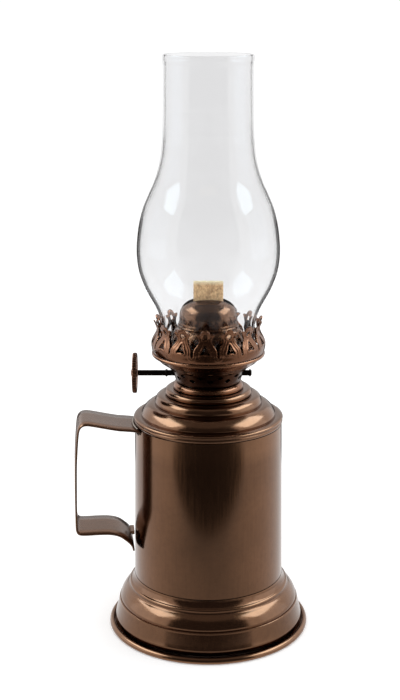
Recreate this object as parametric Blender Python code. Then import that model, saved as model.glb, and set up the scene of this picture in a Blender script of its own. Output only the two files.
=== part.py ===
"""Small oil lamp of aged copper with a glass chimney and a strap handle.

Everything is drawn in millimetres and scaled to metres.  +Z is up, the lamp
stands on z = 0, its axis is the Z axis, and the handle points to -X.
"""
import bpy
import bmesh
import math
from mathutils import Matrix, Vector

MM = 0.001
SEGMENTS = 32
TANK_LOW_R = 38.1
TANK_TOP_R = 37.5
SHAFT_Y = -5.2
SHAFT_Z = 134.1
HANDLE_ANGLE = math.radians(186.0)
PETALS = 14
PETAL_TURN = math.radians(-3.2)


def clear_scene():
    for old in list(bpy.data.objects):
        bpy.data.objects.remove(old, do_unlink=True)


def make_material(name, colour, metallic, roughness, transmission=0.0):
    mat = bpy.data.materials.new(name)
    mat.use_nodes = True
    shader = mat.node_tree.nodes["Principled BSDF"]
    shader.inputs["Base Color"].default_value = (*colour, 1.0)
    shader.inputs["Metallic"].default_value = metallic
    shader.inputs["Roughness"].default_value = roughness
    shader.inputs["Transmission Weight"].default_value = transmission
    mat.diffuse_color = (*colour, 1.0)
    return mat


def make_object(name, verts, faces, mat):
    """A mesh object from millimetre vertices, with its faces turned outward."""
    mesh = bpy.data.meshes.new(name)
    mesh.from_pydata([Vector(v) * MM for v in verts], [], faces)
    bm = bmesh.new()
    bm.from_mesh(mesh)
    bmesh.ops.recalc_face_normals(bm, faces=bm.faces)
    bm.to_mesh(mesh)
    bm.free()
    if mat is not None:
        mesh.materials.append(mat)
    obj = bpy.data.objects.new(name, mesh)
    bpy.context.scene.collection.objects.link(obj)
    return obj


def revolve(section, segments=SEGMENTS, radius_at=None):
    """Vertices and faces of a closed (r, z) section turned about Z."""
    verts = []
    rings = []
    for r, z in section:
        if r <= 0.0:
            rings.append([len(verts)])
            verts.append((0.0, 0.0, z))
            continue
        ring = []
        for i in range(segments):
            a = 2.0 * math.pi * i / segments
            rr = r if radius_at is None else radius_at(r, i)
            ring.append(len(verts))
            verts.append((rr * math.cos(a), rr * math.sin(a), z))
        rings.append(ring)
    faces = []
    for k, low in enumerate(rings):
        high = rings[(k + 1) % len(rings)]
        if len(low) == 1 and len(high) == 1:
            continue
        for i in range(segments):
            j = (i + 1) % segments
            if len(low) == 1:
                faces.append((low[0], high[j], high[i]))
            elif len(high) == 1:
                faces.append((low[i], low[j], high[0]))
            else:
                faces.append((low[i], low[j], high[j], high[i]))
    return verts, faces


def lathe(name, section, mat, segments=SEGMENTS, radius_at=None):
    verts, faces = revolve(section, segments, radius_at)
    return make_object(name, verts, faces, mat)


def normals_of(line):
    """Unit normals of an open (a, b) line, on its left-hand side."""
    found = []
    for k in range(len(line)):
        p = line[max(k - 1, 0)]
        q = line[min(k + 1, len(line) - 1)]
        da, db = q[0] - p[0], q[1] - p[1]
        size = math.hypot(da, db)
        found.append((-db / size, da / size))
    return found


def shell(line, thickness, every=3):
    """Closed section: an open outer (r, z) line, rising, and a simpler inner copy."""
    inner = []
    last = len(line) - 1
    for k, ((r, z), (nr, nz)) in enumerate(zip(line, normals_of(line))):
        if k % every == 0 or k == last:
            inner.append((r + nr * thickness, z + nz * thickness))
    return list(line) + inner[::-1]


def lathe_along_x(name, section, mat, centre, segments, radius_at=None):
    """Turn a closed (r, x) section about the X direction through centre (y, z)."""
    verts, faces = revolve(section, segments, radius_at)
    moved = [(v[2], centre[0] + v[0], centre[1] + v[1]) for v in verts]
    return make_object(name, moved, faces, mat)


def grid_plate(name, outer, inner, solid, mat):
    """A thin ring-shaped plate from two grids of points and a cell mask.

    outer[row][col] and inner[row][col] are points; columns wrap round.
    solid(row, col) says whether the cell above and beside that point is kept.
    """
    rows, cols = len(outer), len(outer[0])
    index = {}
    verts = []
    faces = []

    def vertex(side, row, col):
        key = (side, row, col % cols)
        if key not in index:
            index[key] = len(verts)
            verts.append((outer, inner)[side][row][col % cols])
        return index[key]

    def is_solid(row, col):
        return 0 <= row < rows - 1 and solid(row, col % cols)

    for row in range(rows - 1):
        for col in range(cols):
            if not is_solid(row, col):
                continue
            ring = [(row, col), (row, col + 1), (row + 1, col + 1), (row + 1, col)]
            beside = [(row - 1, col), (row, col + 1), (row + 1, col), (row, col - 1)]
            faces.append([vertex(0, *p) for p in ring])
            faces.append([vertex(1, *p) for p in reversed(ring)])
            for k in range(4):
                if is_solid(*beside[k]):
                    continue
                p, q = ring[k], ring[(k + 1) % 4]
                faces.append([vertex(0, *q), vertex(0, *p), vertex(1, *p), vertex(1, *q)])
    return make_object(name, verts, faces, mat)


def prism(name, outline, low, high, mat):
    """An (x, y) outline extruded from z = low to z = high."""
    n = len(outline)
    verts = [(x, y, low) for x, y in outline] + [(x, y, high) for x, y in outline]
    faces = [list(range(n))[::-1], list(range(n, 2 * n))]
    faces += [(i, (i + 1) % n, n + (i + 1) % n, n + i) for i in range(n)]
    return make_object(name, verts, faces, mat)


def tube_prism(name, outside, inside, low, high, mat):
    """A straight tube between two (x, y) outlines with the same point count."""
    n = len(outside)
    verts = []
    for z in (low, high):
        verts += [(x, y, z) for x, y in outside]
        verts += [(x, y, z) for x, y in inside]
    faces = []
    for i in range(n):
        j = (i + 1) % n
        faces.append((i, j, 2 * n + j, 2 * n + i))
        faces.append((n + j, n + i, 3 * n + i, 3 * n + j))
        faces.append((j, i, n + i, n + j))
        faces.append((2 * n + i, 2 * n + j, 3 * n + j, 3 * n + i))
    return make_object(name, verts, faces, mat)


def oval(length, width, corner_points=4):
    """Outline of a flat tube: straight sides, round ends, long way along X."""
    half = (length - width) / 2.0
    r = width / 2.0
    points = []
    for side in (1, -1):
        for k in range(corner_points + 1):
            a = math.radians(-90.0 + 180.0 * k / corner_points)
            points.append((side * (half + r * math.cos(a)), side * r * math.sin(a)))
    return points


def box_cutter(name, centre, size):
    hx, hy, hz = (s / 2.0 for s in size)
    outline = [(-hx, -hy), (hx, -hy), (hx, hy), (-hx, hy)]
    outline = [(centre[0] + x, centre[1] + y) for x, y in outline]
    return prism(name, outline, centre[2] - hz, centre[2] + hz, None)


def cut(target, cutter):
    cutter.hide_render = True
    cutter.display_type = "WIRE"
    mod = target.modifiers.new(cutter.name, "BOOLEAN")
    mod.operation = "DIFFERENCE"
    mod.solver = "EXACT"
    mod.object = cutter


def add_base(copper):
    """A pressed pan with a rolled rim, and the stepped skirt standing in it."""
    pan = [(0, 0), (50.4, 0), (51.1, 0.4), (51.3, 1.2), (50.9, 2.2), (50.0, 2.9),
           (49.2, 2.7), (48.6, 2.1), (46.4, 2.0), (44.0, 1.4), (0, 1.4)]
    lathe("base_pan", pan, copper)
    skirt = [(46.3, 2.45), (47.6, 4.0), (48.1, 5.4), (47.3, 8.6), (46.3, 12.6), (46.1, 13.4),
             (45.2, 13.9), (45.3, 14.8), (44.9, 16.2), (43.9, 18.2), (42.5, 20.0), (41.4, 21.2),
             (40.9, 21.9), (40.7, 22.7), (40.0, 23.3), (39.1, 24.2), (38.5, 25.6), (38.15, 27.2)]
    lathe("base_skirt", shell(skirt, 0.8), copper)


def add_tank(copper):
    floor = [(0, 28.2), (36.8, 28.2), (36.8, 31.6), (36.1, 31.6), (35.8, 29.2), (0, 29.2)]
    lathe("tank_floor", floor, copper)
    wall = [(TANK_LOW_R, 27.6), (TANK_TOP_R, 107.3), (TANK_TOP_R - 0.8, 107.3),
            (TANK_LOW_R - 0.8, 27.6)]
    lathe("tank_wall", wall, copper)
    shoulder = [(37.5, 107.65), (37.9, 108.5), (37.6, 109.4), (38.05, 110.3), (37.4, 111.1),
                (35.6, 111.4), (34.0, 111.5), (34.0, 112.5), (33.3, 114.0), (31.9, 115.7),
                (30.3, 116.9), (28.6, 117.4), (27.0, 117.4), (27.0, 118.7), (26.5, 120.1),
                (25.4, 121.4), (24.0, 122.0), (20.4, 122.0), (17.0, 122.05)]
    lathe("tank_shoulder", shell(shoulder, 0.8), copper)


def add_collar(copper):
    """Threaded ring crimped on the shoulder, with a beaded flange."""
    outer = [(16.6, 116.0), (16.6, 122.4), (21.7, 122.4), (22.2, 123.1), (22.0, 124.1),
             (21.1, 125.0), (19.6, 125.3)]
    thread = [(15.2, 125.3)]
    for k in range(3):
        z = 124.0 - 3.0 * k
        thread += [(15.2, z + 0.6), (15.7, z), (15.2, z - 0.6)]
    lathe("collar", outer + thread + [(15.2, 116.0)], copper)


def add_burner_base(brass, copper):
    thread = [(14.3, 117.4)]
    for k in range(3):
        z = 118.6 + 2.9 * k
        thread += [(14.3, z - 0.6), (14.8, z), (14.3, z + 0.6)]
    ferrule = thread + [(14.3, 125.65), (18.6, 125.65), (18.9, 126.4), (18.6, 127.4),
                        (17.7, 128.2), (16.3, 128.65), (13.4, 128.65), (13.4, 117.4)]
    lathe("burner_ferrule", ferrule, brass)
    floor = lathe("burner_floor", [(0, 124.4), (13.0, 124.4), (13.0, 125.1), (0, 125.1)], brass)
    cut(floor, prism("cut_floor_wick", oval(18.6, 5.2), 123, 127, None))
    hole = revolve([(0, 123), (2.4, 123), (2.4, 127), (0, 127)], 12)
    moved = [(x, y + 7.6, z) for x, y, z in hole[0]]
    cut(floor, make_object("cut_floor_vent", moved, hole[1], None))
    add_basket(copper)


def add_basket(copper):
    """Bowl with two staggered rows of air holes and two shaft holes."""
    line = [(14.0, 129.05), (16.4, 129.1), (17.5, 130.3), (18.4, 131.8), (19.15, 133.3),
            (19.85, 134.9), (20.5, 136.45)]
    cols = 44
    section = shell(line, 0.55, 1)
    rows = len(line)
    outer, inner = [], []
    for k in range(rows):
        for grid, (r, z) in ((outer, section[k]), (inner, section[2 * rows - 1 - k])):
            grid.append([(r * math.cos(2 * math.pi * c / cols),
                          r * math.sin(2 * math.pi * c / cols), z) for c in range(cols)])

    def solid(row, col):
        if row == 2:
            return col % 2 == 1
        if row == 4:
            return col % 2 == 0
        return True

    basket = grid_plate("burner_basket", outer, inner, solid, copper)
    shaft_hole = revolve([(0, -30), (1.85, -30), (1.85, 30), (0, 30)], 12)
    moved = [(v[2], SHAFT_Y + v[0], SHAFT_Z + v[1]) for v in shaft_hole[0]]
    cut(basket, make_object("cut_basket_shaft", moved, shaft_hole[1], None))


def add_gallery(copper):
    """Dished plate the chimney stands on, with a round opening for air."""
    plate = [(17.4, 136.85), (21.1, 136.9), (24.6, 139.7), (27.9, 142.8), (28.5, 143.5),
             (28.2, 144.3), (27.4, 144.1), (24.0, 140.5), (20.9, 137.6), (17.4, 137.55)]
    lathe("gallery_plate", plate, copper)


# Height and outer radius of the crown of prongs, from the band to the tips.
CROWN_LINE = [(144.7, 28.2), (147.6, 28.8), (149.2, 28.75), (151.2, 27.9), (153.6, 26.7),
              (155.3, 26.1), (156.5, 26.0), (158.1, 26.35), (159.2, 26.85), (161.2, 27.9)]
# Half-width of a prong at each of those heights, and of the opening inside it.
PRONG_HALF = (6.05, 6.0, 5.8, 5.6, 4.4, 3.2, 3.6, 4.5, 4.4, 2.4)
PRONG_OPENING = (2.6, 2.6, 2.7, 2.3, 0.8, 0.7, 0.9, 0.9, 1.0, 1.0)
TIP_DROP = (1.1, 0.3, 0.0)


def crown_columns(row, thickness):
    """The crown's points at one height: five per prong and the gap beside it."""
    z, r = CROWN_LINE[row]
    r -= thickness
    half, opening = PRONG_HALF[row], PRONG_OPENING[row]
    top = row == len(CROWN_LINE) - 1
    points = []
    for p in range(PETALS):
        middle = -math.pi / 2 + PETAL_TURN + 2 * math.pi * p / PETALS
        for k, u in enumerate((-half, -opening, 0.0, opening, half)):
            drop = (TIP_DROP[0], TIP_DROP[1], TIP_DROP[2], TIP_DROP[1], TIP_DROP[0])[k]
            a = middle + u / 28.0
            points.append((r * math.cos(a), r * math.sin(a), z - (drop if top else 0.0)))
    return points


def add_crown(copper):
    rows = range(len(CROWN_LINE))
    outer = [crown_columns(row, 0.0) for row in rows]
    inner = [crown_columns(row, 0.55) for row in rows]

    def solid(row, col):
        strip = col % 5
        if strip == 4:
            return row == 0
        if strip in (1, 2):
            return row not in (2, 3, 6)
        return True

    grid_plate("gallery_crown", outer, inner, solid, copper)


def add_dome(copper):
    line = [(20.6, 138.0), (20.5, 145.0), (18.9, 152.0), (17.1, 155.7), (15.6, 157.0),
            (15.4, 158.2), (14.7, 159.2), (14.5, 162.8), (13.9, 165.6), (12.4, 168.0),
            (9.6, 169.9), (5.0, 171.1)]
    section = shell(line, 0.6)
    middle = len(line)
    section.insert(middle, (0.0, 171.4))
    section.insert(middle + 1, (0.0, 170.8))
    dome = lathe("flame_dome", section, copper)
    cut(dome, prism("cut_dome_slot", oval(27.0, 6.4), 163.5, 175.0, None))


def add_wick_raiser(brass, steel):
    """Flat wick tube, spur wheels in their box, and the cross shaft."""
    tube = tube_prism("wick_tube", oval(17.8, 4.4), oval(16.6, 3.2), 119.5, 166.0, brass)
    window = [box_cutter("cut_tube_left", (-4.0, -2.6, SHAFT_Z), (3.0, 2.4, 7.6)),
              box_cutter("cut_tube_right", (4.0, -2.6, SHAFT_Z), (3.0, 2.4, 7.6))]
    for cutter in window:
        cut(tube, cutter)
    vent = revolve([(2.0, 120.5), (2.0, 150.0), (1.4, 150.0), (1.4, 120.5)], 12)
    make_object("vent_tube", [(x, y + 7.6, z) for x, y, z in vent[0]], vent[1], brass)
    box = box_cutter("spur_box", (0.0, -6.2, SHAFT_Z), (15.0, 7.2, 8.6))
    box.data.materials.append(brass)
    cut(box, box_cutter("cut_box_inside", (0.0, -4.6, SHAFT_Z), (13.8, 9.2, 7.8)))
    bore = revolve([(0, -12), (1.8, -12), (1.8, 12), (0, 12)], 12)
    moved = [(v[2], SHAFT_Y + v[0], SHAFT_Z + v[1]) for v in bore[0]]
    cut(box, make_object("cut_box_bore", moved, bore[1], None))
    axis = (SHAFT_Y, SHAFT_Z)

    def tooth(r, i):
        return r if r < 3.0 or i % 2 == 0 else 2.75

    for name, x in (("spur_wheel_1", -4.0), ("spur_wheel_2", 4.0)):
        section = [(1.72, x - 1.0), (3.6, x - 1.0), (3.6, x + 1.0), (1.72, x + 1.0)]
        lathe_along_x(name, section, brass, axis, 24, tooth)
    shaft = [(0, -35.7), (1.4, -35.7), (1.4, 21.5), (1.0, 21.9), (0, 21.9)]
    lathe_along_x("wick_shaft", shaft, steel, axis, 24)
    for name, a, b in (("shaft_bush_left", -21.6, -20.6), ("shaft_bush_right", 20.6, 21.4)):
        ring = [(1.75, a), (2.3, a), (2.3, b), (1.75, b)]
        lathe_along_x(name, ring, brass, axis, 16)


def add_thumb_wheel(copper):
    def milled(r, i):
        return r if r < 9.0 or i % 2 == 0 else r - 0.45

    section = [(0, -36.1), (2.4, -36.1), (2.6, -36.7), (8.2, -36.7), (9.2, -35.9),
               (10.1, -36.0), (10.1, -38.2), (9.2, -38.3), (8.2, -37.6), (3.0, -37.6),
               (0, -37.6)]
    lathe_along_x("thumb_wheel", section, copper, (SHAFT_Y, SHAFT_Z), 48, milled)
    button = [(0, -37.95), (2.3, -37.95), (2.3, -38.3), (1.6, -38.9), (0, -39.15)]
    lathe_along_x("thumb_rivet", button, copper, (SHAFT_Y, SHAFT_Z), 16)


def add_wick(cotton):
    """Flat woven wick, hanging straight into the tank."""
    prism("wick", oval(15.4, 2.4, 4), 48.0, 180.3, cotton)


def add_chimney(glass):
    line = [(24.2, 141.75), (23.9, 149.0), (23.5, 155.5), (24.0, 160.2), (26.0, 166.2),
            (30.2, 173.8), (33.2, 180.8), (35.0, 187.2), (35.9, 195.6), (35.4, 204.6),
            (33.75, 213.0), (30.9, 221.4), (27.5, 230.0), (24.5, 239.0), (23.0, 248.0),
            (22.5, 260.0), (22.3, 288.6), (22.7, 290.4), (22.6, 293.2)]
    section = shell(line, 1.5, 2)
    tip = len(line)
    section.insert(tip, (21.5, 294.0))
    lathe("chimney", section, glass)


def add_handle(copper, solder):
    """Flat strap bent like a mug handle, its two ends soldered to the tank."""
    path = [(34.0, 105.9), (41.0, 106.7), (50.0, 108.4), (58.0, 110.2), (62.4, 110.9),
            (64.9, 110.4), (66.2, 108.6), (66.7, 106.0), (67.3, 100.0), (67.9, 90.0),
            (68.1, 79.0), (68.1, 68.0), (68.0, 58.0), (67.6, 55.2), (66.0, 53.8),
            (62.0, 53.5), (56.0, 53.5), (50.5, 53.3), (46.2, 52.0), (42.8, 49.6),
            (40.4, 47.3), (39.4, 45.4), (39.3, 44.0)]
    half_width = 12.5
    thickness = 1.0
    loop = []
    for (u, z), (nu, nz) in zip(path, normals_of(path)):
        loop.append((u + nu * thickness / 2, z + nz * thickness / 2))
    for (u, z), (nu, nz) in reversed(list(zip(path, normals_of(path)))):
        loop.append((u - nu * thickness / 2, z - nz * thickness / 2))
    turn = Matrix.Rotation(HANDLE_ANGLE, 3, "Z")
    n = len(loop)
    verts = [turn @ Vector((u, v, z)) for v in (-half_width, half_width) for u, z in loop]
    half = n // 2
    faces = []
    for k in range(half - 1):
        a, b, c, d = k, k + 1, n - 2 - k, n - 1 - k
        faces.append((a, b, c, d))
        faces.append((n + d, n + c, n + b, n + a))
    faces += [(i, n + i, n + (i + 1) % n, (i + 1) % n) for i in range(n)]
    strap = make_object("handle_strap", verts, faces, copper)
    tank_side = TANK_TOP_R + 0.4
    round_tank = [(0, 95.0), (tank_side, 95.0), (tank_side, 115.0), (0, 115.0)]
    cutter = revolve(round_tank, SEGMENTS)
    cut(strap, make_object("cut_strap_end", cutter[0], cutter[1], None))
    above = [(38.15, 107.3), (39.2, 107.5), (38.9, 107.9), (38.3, 108.1)]
    below = [(37.9, 104.2), (38.4, 104.5), (39.0, 105.4), (37.9, 105.4)]
    add_fillet("handle_solder_top", above, solder)
    add_fillet("handle_solder_under", below, solder)
    tab = [(38.4, 49.4), (38.4, 51.2), (40.3, 51.2), (40.9, 50.3), (39.6, 49.4)]
    verts = [turn @ Vector((u, v, z)) for v in (-4.0, 4.0) for u, z in tab]
    m = len(tab)
    faces = [list(range(m)), list(range(m, 2 * m))[::-1]]
    faces += [(i, m + i, m + (i + 1) % m, (i + 1) % m) for i in range(m)]
    make_object("handle_solder_bottom", verts, faces, solder)


def add_fillet(name, section, mat):
    """A fillet of solder that follows the tank wall along the strap's end."""
    reach = math.radians(17.0)
    steps = 8
    verts = []
    for k in range(steps + 1):
        a = HANDLE_ANGLE - reach + 2 * reach * k / steps
        verts += [(r * math.cos(a), r * math.sin(a), z) for r, z in section]
    m = len(section)
    faces = [list(range(m)), list(range(steps * m, steps * m + m))[::-1]]
    for k in range(steps):
        for i in range(m):
            j = (i + 1) % m
            faces.append((k * m + i, k * m + j, (k + 1) * m + j, (k + 1) * m + i))
    make_object(name, verts, faces, mat)


def build():
    clear_scene()
    copper = make_material("aged_copper", (0.36, 0.19, 0.11), 1.0, 0.32)
    brass = make_material("old_brass", (0.42, 0.29, 0.13), 1.0, 0.38)
    steel = make_material("dark_steel", (0.06, 0.055, 0.05), 1.0, 0.45)
    solder = make_material("grey_solder", (0.50, 0.48, 0.45), 1.0, 0.35)
    glass = make_material("clear_glass", (0.95, 0.96, 0.96), 0.0, 0.02, 1.0)
    cotton = make_material("wick_cotton", (0.72, 0.62, 0.48), 0.0, 0.9)
    add_base(copper)
    add_tank(copper)
    add_collar(copper)
    add_burner_base(brass, copper)
    add_gallery(copper)
    add_crown(copper)
    add_dome(copper)
    add_wick_raiser(brass, steel)
    add_thumb_wheel(copper)
    add_wick(cotton)
    add_chimney(glass)
    add_handle(copper, solder)


build()
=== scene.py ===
"""The oil lamp's looks: fine spun-metal shells, prongs, glass, wick and their materials.

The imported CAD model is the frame.  Outlines are in millimetres: a radius, and a
height above the lowest point of the CAD node that the piece stands for.
"""
import math
import random

import bmesh
import bpy
from mathutils import Matrix, Vector, geometry


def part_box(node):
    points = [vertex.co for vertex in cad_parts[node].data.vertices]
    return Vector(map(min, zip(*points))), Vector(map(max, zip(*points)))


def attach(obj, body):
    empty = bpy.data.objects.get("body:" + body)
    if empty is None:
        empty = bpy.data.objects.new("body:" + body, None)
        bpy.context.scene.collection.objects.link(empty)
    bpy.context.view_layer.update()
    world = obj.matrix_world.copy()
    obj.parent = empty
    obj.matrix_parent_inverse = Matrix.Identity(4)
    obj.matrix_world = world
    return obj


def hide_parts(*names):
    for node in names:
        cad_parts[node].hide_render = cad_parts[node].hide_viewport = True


MM = 0.001
ROUND = 192
PRONGS = 14
PRONG_TURN = math.radians(-3.2)
HANDLE_ANGLE = math.radians(186.0)

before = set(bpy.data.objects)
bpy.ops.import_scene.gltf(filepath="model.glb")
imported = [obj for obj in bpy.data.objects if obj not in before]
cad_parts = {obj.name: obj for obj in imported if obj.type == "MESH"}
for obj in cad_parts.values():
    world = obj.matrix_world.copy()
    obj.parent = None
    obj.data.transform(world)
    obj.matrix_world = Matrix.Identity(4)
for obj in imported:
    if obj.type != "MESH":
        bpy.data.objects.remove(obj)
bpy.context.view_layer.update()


# ---------------------------------------------------------------- mesh tools

def node_foot(node):
    """Height of a CAD node's lowest point, in millimetres."""
    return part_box(node)[0][2] / MM


def mesh_object(name, verts, faces, material, sharp=40.0):
    """A smooth-shaded mesh piece from millimetre vertices."""
    mesh = bpy.data.meshes.new(name)
    mesh.from_pydata([Vector(v) * MM for v in verts], [], faces)
    bm = bmesh.new()
    bm.from_mesh(mesh)
    bmesh.ops.recalc_face_normals(bm, faces=bm.faces)
    bm.to_mesh(mesh)
    bm.free()
    mesh.polygons.foreach_set("use_smooth", [True] * len(mesh.polygons))
    mesh.set_sharp_from_angle(angle=math.radians(sharp))
    mesh.materials.append(material)
    obj = bpy.data.objects.new(name, mesh)
    bpy.context.scene.collection.objects.link(obj)
    return obj


def smooth_line(points, step=0.5):
    """A smooth line through (a, b) points.  A third item True keeps that corner sharp."""
    runs, run = [], []
    for p in points:
        run.append((p[0], p[1]))
        if len(p) > 2 and len(run) > 1:
            runs.append(run)
            run = [run[-1]]
    if len(run) > 1:
        runs.append(run)
    line = [runs[0][0]]
    for run in runs:
        last = len(run) - 1
        for k in range(last):
            p0, p1 = run[max(k - 1, 0)], run[k]
            p2, p3 = run[k + 1], run[min(k + 2, last)]
            count = max(2, int(math.dist(p1, p2) / step))
            for i in range(1, count + 1):
                t = i / count
                line.append(tuple(
                    0.5 * (2 * b + (c - a) * t + (2 * a - 5 * b + 4 * c - d) * t * t
                           + (3 * b - a - 3 * c + d) * t ** 3)
                    for a, b, c, d in zip(p0, p1, p2, p3)))
    return line


def line_normals(line):
    """Unit vectors square to a line of (a, b) points, on its left as it runs."""
    found = []
    for k in range(len(line)):
        p, q = line[max(k - 1, 0)], line[min(k + 1, len(line) - 1)]
        da, db = q[0] - p[0], q[1] - p[1]
        size = math.hypot(da, db) or 1.0
        found.append((-db / size, da / size))
    return found


def shell(line, thickness):
    """Closed section of a sheet: the outer line going up, then its inner copy coming down."""
    inner = [(r + n[0] * thickness, z + n[1] * thickness)
             for (r, z), n in zip(line, line_normals(line))]
    return list(line) + inner[::-1]


def curl(line, reach=3):
    """How much a line bends outward (+) or inward (-) at each point, softened."""
    turn = []
    last = len(line) - 1
    for k in range(len(line)):
        a, b, c = line[max(k - 1, 0)], line[k], line[min(k + 1, last)]
        cross = (b[0] - a[0]) * (c[1] - b[1]) - (b[1] - a[1]) * (c[0] - b[0])
        size = math.dist(a, b) * math.dist(b, c)
        turn.append(cross / size if size > 1e-9 else 0.0)
    soft = []
    for k in range(len(line)):
        near = turn[max(k - reach, 0):k + reach + 1]
        soft.append(sum(near) / len(near))
    return soft


def lathe(name, section, material, foot=0.0, segments=ROUND, radius_at=None):
    """A closed (r, z) section turned about Z, with its bends stored for the patina."""
    verts, rings, bends = [], [], []
    for (r, z), bend in zip(section, curl(section)):
        if r <= 0.0:
            rings.append([len(verts)])
            verts.append((0.0, 0.0, z + foot))
            bends.append(bend)
            continue
        ring = []
        for i in range(segments):
            a = 2.0 * math.pi * i / segments
            rr = r if radius_at is None else radius_at(r, i)
            ring.append(len(verts))
            verts.append((rr * math.cos(a), rr * math.sin(a), z + foot))
            bends.append(bend)
        rings.append(ring)
    faces = []
    for k, low in enumerate(rings):
        high = rings[(k + 1) % len(rings)]
        for i in range(segments):
            j = (i + 1) % segments
            if len(low) == 1 and len(high) == 1:
                break
            if len(low) == 1:
                faces.append((low[0], high[j], high[i]))
            elif len(high) == 1:
                faces.append((low[i], low[j], high[0]))
            else:
                faces.append((low[i], low[j], high[j], high[i]))
    obj = mesh_object(name, verts, faces, material)
    store_bends(obj, bends)
    return obj


def store_bends(obj, bends):
    """Two point attributes: hollow where the form turns in, proud where it turns out."""
    hollow = obj.data.attributes.new("hollow", "FLOAT", "POINT")
    proud = obj.data.attributes.new("proud", "FLOAT", "POINT")
    hollow.data.foreach_set("value", [min(1.0, max(0.0, -b * 2.2)) for b in bends])
    proud.data.foreach_set("value", [min(1.0, max(0.0, b * 2.2)) for b in bends])


def turn_to_x(obj, y, z):
    """Lay a piece made about Z along X instead, its axis through (y, z) in millimetres."""
    for v in obj.data.vertices:
        a, b, c = v.co
        v.co = (c, y * MM + a, z * MM + b)


def inside(point, loop):
    """True when a flat point lies inside a closed loop of points."""
    x, y = point
    found = False
    for (x0, y0), (x1, y1) in zip(loop, loop[1:] + loop[:1]):
        if (y0 > y) != (y1 > y) and x < x0 + (y - y0) / (y1 - y0) * (x1 - x0):
            found = not found
    return found


def from_line(point, line):
    """Distance from a flat point to an open line of points."""
    best = 1e9
    px, py = point
    for (x0, y0), (x1, y1) in zip(line, line[1:]):
        dx, dy = x1 - x0, y1 - y0
        size = dx * dx + dy * dy or 1e-12
        t = min(1.0, max(0.0, ((px - x0) * dx + (py - y0) * dy) / size))
        best = min(best, math.hypot(px - x0 - t * dx, py - y0 - t * dy))
    return best


def evenly(loop, gap):
    """A closed loop with extra points, none further apart than gap."""
    full = []
    for a, b in zip(loop, loop[1:] + loop[:1]):
        count = max(1, math.ceil(math.dist(a, b) / gap))
        full += [(a[0] + (b[0] - a[0]) * k / count, a[1] + (b[1] - a[1]) * k / count)
                 for k in range(count)]
    return full


def cut_sheet(outline, holes, gap):
    """Flat triangles filling an outline but not its holes: points, triangles."""
    loops = [evenly(loop, gap * 0.8) for loop in [outline] + holes]
    points, links = [], []
    for loop in loops:
        first = len(points)
        points += loop
        links += [(first + k, first + (k + 1) % len(loop)) for k in range(len(loop))]
    closed = [loop + loop[:1] for loop in loops]
    left, right = min(p[0] for p in outline), max(p[0] for p in outline)
    low, high = min(p[1] for p in outline), max(p[1] for p in outline)
    row = 0
    y = low + gap / 2
    while y < high:
        x = left + gap * (0.5 if row % 2 else 1.0)
        while x < right:
            spot = (x, y)
            if inside(spot, loops[0]) and not any(inside(spot, h) for h in loops[1:]):
                if min(from_line(spot, c) for c in closed) > gap * 0.5:
                    points.append(spot)
            x += gap
        y += gap * 0.87
        row += 1
    found = geometry.delaunay_2d_cdt([Vector(p) for p in points], links, [], 0, 1e-5)
    flat = [tuple(v) for v in found[0]]
    kept = []
    for tri in found[2]:
        middle = tuple(sum(flat[i][k] for i in tri) / len(tri) for k in (0, 1))
        if inside(middle, loops[0]) and not any(inside(middle, h) for h in loops[1:]):
            kept.append(tuple(tri))
    return flat, kept


def pressed_ring(name, copies, turn, sheet, place, material, tone=None):
    """Repeats a flat cut sheet round Z.  place(u, s, side) gives (angle, r, z) in mm."""
    flat, tris = sheet
    edge_use = {}
    for tri in tris:
        for k in range(3):
            edge = (tri[k], tri[(k + 1) % 3])
            key = tuple(sorted(edge))
            edge_use[key] = None if key in edge_use else edge
    rim = [edge for edge in edge_use.values() if edge]
    reach = max(abs(p[0]) for p in flat) - 1e-4
    rim = [e for e in rim if not (abs(flat[e[0]][0]) > reach and abs(flat[e[1]][0]) > reach)]
    spots = [[place(u, s, side) for u, s in flat] for side in (0, 1)]
    tones = [tone(u, s) if tone else 0.0 for u, s in flat]
    verts, faces, proud = [], [], []
    n = len(flat)
    for copy in range(copies):
        middle = turn + 2 * math.pi * copy / copies
        first = len(verts)
        for side in (0, 1):
            for (angle, r, z), worn in zip(spots[side], tones):
                a = middle + angle
                verts.append((r * math.cos(a), r * math.sin(a), z))
                proud.append(worn)
        faces += [tuple(first + i for i in tri) for tri in tris]
        faces += [tuple(first + n + i for i in reversed(tri)) for tri in tris]
        faces += [(first + a, first + n + a, first + n + b, first + b) for a, b in rim]
    mesh = bpy.data.meshes.new(name)
    mesh.from_pydata([Vector(v) * MM for v in verts], [], faces)
    worn_edge = mesh.attributes.new("proud", "FLOAT", "POINT")
    worn_edge.data.foreach_set("value", proud)
    bm = bmesh.new()
    bm.from_mesh(mesh)
    bmesh.ops.remove_doubles(bm, verts=bm.verts, dist=0.00001)
    bmesh.ops.recalc_face_normals(bm, faces=bm.faces)
    bm.to_mesh(mesh)
    bm.free()
    mesh.polygons.foreach_set("use_smooth", [True] * len(mesh.polygons))
    mesh.set_sharp_from_angle(angle=math.radians(45.0))
    mesh.materials.append(material)
    obj = bpy.data.objects.new(name, mesh)
    bpy.context.scene.collection.objects.link(obj)
    return obj


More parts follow.
